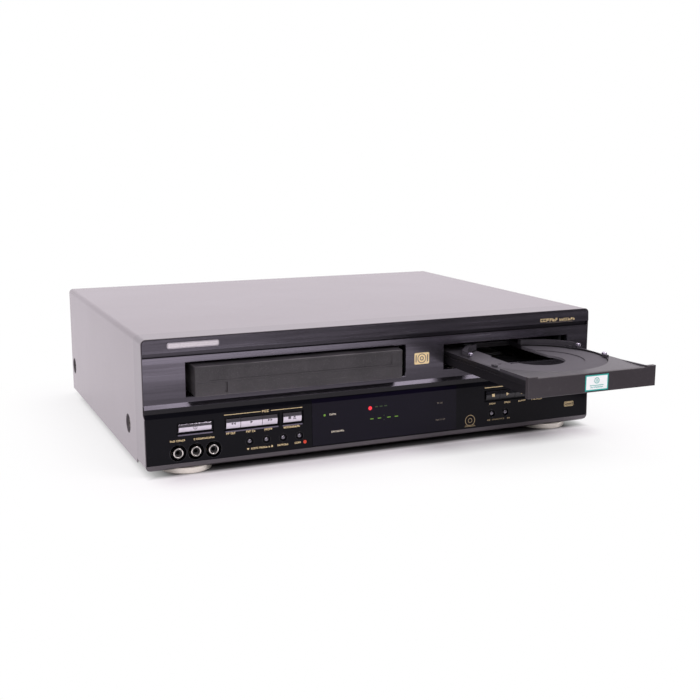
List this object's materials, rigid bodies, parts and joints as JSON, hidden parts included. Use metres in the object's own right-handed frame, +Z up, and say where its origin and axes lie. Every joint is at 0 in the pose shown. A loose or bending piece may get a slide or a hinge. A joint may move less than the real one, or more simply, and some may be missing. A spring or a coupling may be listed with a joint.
{
  "type": "disc and cassette combination player",
  "caption": "Low black player with a sliding disc tray, a cassette slot, keys, front jacks and a display window.",
  "frame": {"origin": "on the table, under the middle of the player's box with its tray open", "axes": "+Z up, -Y out of the front, +X to the right as seen from the front"},
  "size_m": [0.43, 0.469, 0.113],
  "materials": {
    "cover_paint": "satin black paint on steel",
    "bezel_black": "satin black moulding",
    "front_black": "fine brushed-look satin black plastic",
    "lower_black": "glossy black plastic",
    "window": "smoked window",
    "zinc_steel": "zinc-plated sheet steel",
    "plated": "bright nickel plate",
    "steel": "ground steel",
    "aluminium": "turned aluminium",
    "black_plastic": "moulded black plastic",
    "cassette_black": "textured cassette plastic",
    "tray_black": "satin tray plastic",
    "key_silver": "metallised key",
    "key_black": "glossy black key",
    "foot_cream": "pale moulded foot",
    "board_green": "circuit board",
    "board_tan": "paper circuit board",
    "rubber": "black rubber",
    "white_plastic": "white moulded plastic",
    "copper": "wound and taped transformer"
  },
  "bodies": {
    "case": {"bezel_frame": "bezel_black", "bottom_chassis": "zinc_steel", "capstan_motor": "aluminium", "cassette_basket": "zinc_steel", "clamp_bridge": "zinc_steel", "cord_gland": "rubber", "cover_screws": "steel", "display_module": "black_plastic", "display_window": "window", "drive_belt": "rubber", "drum_base": "aluminium", "dvd_loader_frame": "black_plastic", "feet": "foot_cream", "front_board": "board_tan", "front_jack_sleeves": "plated", "front_panel": "front_black", "lower_panel": "lower_black", "main_board": "board_green", "power_board": "board_tan", "rear_jack_block": "plated", "rear_panel": "zinc_steel", "rf_modulator": "zinc_steel", "tape_guides": "steel", "top_cover": "cover_paint", "transformer": "copper", "tray_motor": "zinc_steel", "vcr_deck_plate": "zinc_steel"},
    "slot_door": {"slot_door": "front_black"},
    "cassette": {"cassette_lower_shell": "cassette_black", "cassette_upper_shell": "cassette_black", "cassette_lid": "cassette_black", "cassette_reels": "white_plastic"},
    "tray": {"disc_tray": "tray_black", "tray_front": "front_black"},
    "tray_gear": {"tray_gear": "white_plastic"},
    "motor_pulley": {"motor_pulley": "white_plastic"},
    "traverse": {"traverse_base": "zinc_steel"},
    "turntable": {"turntable": "black_plastic"},
    "pickup": {"optical_pickup": "black_plastic"},
    "disc_clamp": {"disc_clamp": "black_plastic"},
    "head_drum": {"head_drum": "aluminium"},
    "capstan": {"capstan": "steel"},
    "supply_reel_table": {"supply_reel_table": "white_plastic"},
    "takeup_reel_table": {"takeup_reel_table": "white_plastic"},
    "pinch_arm": {"pinch_arm": "rubber"},
    "power_key": {"power_key": "key_silver"},
    "rewind_key": {"rewind_key": "key_silver"},
    "play_key": {"play_key": "key_silver"},
    "forward_key": {"forward_key": "key_silver"},
    "stop_eject_key": {"stop_eject_key": "key_silver"},
    "disc_stop_key": {"disc_stop_key": "key_black"},
    "disc_play_key": {"disc_play_key": "key_black"},
    "disc_pause_key": {"disc_pause_key": "key_black"},
    "disc_open_key": {"disc_open_key": "key_black"},
    "channel_down_key": {"channel_down_key": "key_black"},
    "channel_up_key": {"channel_up_key": "key_black"},
    "source_key": {"source_key": "key_black"},
    "record_key": {"record_key": "key_black"},
    "skip_back_key": {"skip_back_key": "key_black"},
    "skip_forward_key": {"skip_forward_key": "key_black"}
  },
  "joints": [
    {"name": "slot_door_hinge", "type": "hinge", "parent": "case", "child": "slot_door", "pos_m": [-0.0795, -0.0959, 0.0946], "axis": [1, 0, 0], "range_deg": [0, 5]},
    {"name": "cassette_slide", "type": "slide", "parent": "case", "child": "cassette", "axis": [0, 1, 0], "range_m": [-0.09, 0.035]},
    {"name": "tray_slide", "type": "slide", "parent": "case", "child": "tray", "axis": [0, 1, 0], "range_m": [0, 0.131]},
    {"name": "tray_gear_spin", "type": "hinge", "parent": "case", "child": "tray_gear", "pos_m": [0.08108, -0.0735, 0.072], "axis": [0, 0, 1], "range_deg": [-630, 2]},
    {"name": "motor_pulley_spin", "type": "hinge", "parent": "case", "child": "motor_pulley", "pos_m": [0.11738, -0.0695, 0.066], "axis": [0, 0, 1], "range_deg": [-3140, 10]},
    {"name": "traverse_tilt", "type": "hinge", "parent": "case", "child": "traverse", "pos_m": [0.125, 0.0685, 0.064], "axis": [-1, 0, 0], "range_deg": [0, 5.6]},
    {"name": "turntable_spin", "type": "hinge", "parent": "traverse", "child": "turntable", "pos_m": [0.125, -0.0225, 0.07], "axis": [0, 0, 1], "continuous": true},
    {"name": "pickup_slide", "type": "slide", "parent": "traverse", "child": "pickup", "axis": [0, 1, 0], "range_m": [0, 0.034]},
    {"name": "disc_clamp_spin", "type": "hinge", "parent": "case", "child": "disc_clamp", "pos_m": [0.125, -0.0225, 0.09], "axis": [0, 0, 1], "continuous": true},
    {"name": "head_drum_spin", "type": "hinge", "parent": "case", "child": "head_drum", "pos_m": [-0.0805, 0.0645, 0.058], "axis": [0, 0, 1], "continuous": true},
    {"name": "capstan_spin", "type": "hinge", "parent": "case", "child": "capstan", "pos_m": [-0.022, 0.0365, 0.03], "axis": [0, 0, 1], "continuous": true},
    {"name": "supply_reel_spin", "type": "hinge", "parent": "case", "child": "supply_reel_table", "pos_m": [-0.1265, -0.0335, 0.04], "axis": [0, 0, 1], "continuous": true},
    {"name": "takeup_reel_spin", "type": "hinge", "parent": "case", "child": "takeup_reel_table", "pos_m": [-0.0345, -0.0335, 0.04], "axis": [0, 0, 1], "continuous": true},
    {"name": "pinch_arm_swing", "type": "hinge", "parent": "case", "child": "pinch_arm", "pos_m": [0.006, 0.0545, 0.04], "axis": [0, 0, -1], "range_deg": [0, 20]},
    {"name": "power_key_press", "type": "slide", "parent": "case", "child": "power_key", "axis": [0, 1, 0], "range_m": [0, 0.0008], "stiffness_N_per_m": 400},
    {"name": "rewind_key_press", "type": "slide", "parent": "case", "child": "rewind_key", "axis": [0, 1, 0], "range_m": [0, 0.0008], "stiffness_N_per_m": 400},
    {"name": "play_key_press", "type": "slide", "parent": "case", "child": "play_key", "axis": [0, 1, 0], "range_m": [0, 0.0008], "stiffness_N_per_m": 400},
    {"name": "forward_key_press", "type": "slide", "parent": "case", "child": "forward_key", "axis": [0, 1, 0], "range_m": [0, 0.0008], "stiffness_N_per_m": 400},
    {"name": "stop_eject_key_press", "type": "slide", "parent": "case", "child": "stop_eject_key", "axis": [0, 1, 0], "range_m": [0, 0.0008], "stiffness_N_per_m": 400},
    {"name": "disc_stop_key_press", "type": "slide", "parent": "case", "child": "disc_stop_key", "axis": [0, 1, 0], "range_m": [0, 0.0008], "stiffness_N_per_m": 400},
    {"name": "disc_play_key_press", "type": "slide", "parent": "case", "child": "disc_play_key", "axis": [0, 1, 0], "range_m": [0, 0.0008], "stiffness_N_per_m": 400},
    {"name": "disc_pause_key_press", "type": "slide", "parent": "case", "child": "disc_pause_key", "axis": [0, 1, 0], "range_m": [0, 0.0008], "stiffness_N_per_m": 400},
    {"name": "disc_open_key_press", "type": "slide", "parent": "case", "child": "disc_open_key", "axis": [0, 1, 0], "range_m": [0, 0.0008], "stiffness_N_per_m": 400},
    {"name": "channel_down_key_press", "type": "slide", "parent": "case", "child": "channel_down_key", "axis": [0, 1, 0], "range_m": [0, 0.0008], "stiffness_N_per_m": 400},
    {"name": "channel_up_key_press", "type": "slide", "parent": "case", "child": "channel_up_key", "axis": [0, 1, 0], "range_m": [0, 0.0008], "stiffness_N_per_m": 400},
    {"name": "source_key_press", "type": "slide", "parent": "case", "child": "source_key", "axis": [0, 1, 0], "range_m": [0, 0.0008], "stiffness_N_per_m": 400},
    {"name": "record_key_press", "type": "slide", "parent": "case", "child": "record_key", "axis": [0, 1, 0], "range_m": [0, 0.0008], "stiffness_N_per_m": 400},
    {"name": "skip_back_key_press", "type": "slide", "parent": "case", "child": "skip_back_key", "axis": [0, 1, 0], "range_m": [0, 0.0008], "stiffness_N_per_m": 400},
    {"name": "skip_forward_key_press", "type": "slide", "parent": "case", "child": "skip_forward_key", "axis": [0, 1, 0], "range_m": [0, 0.0008], "stiffness_N_per_m": 400}
  ],
  "couplings": [
    {"joint": "tray_gear_spin", "follows": "tray_slide", "rad_per_m": -83.333},
    {"joint": "motor_pulley_spin", "follows": "tray_slide", "rad_per_m": -416.67}
  ]
}
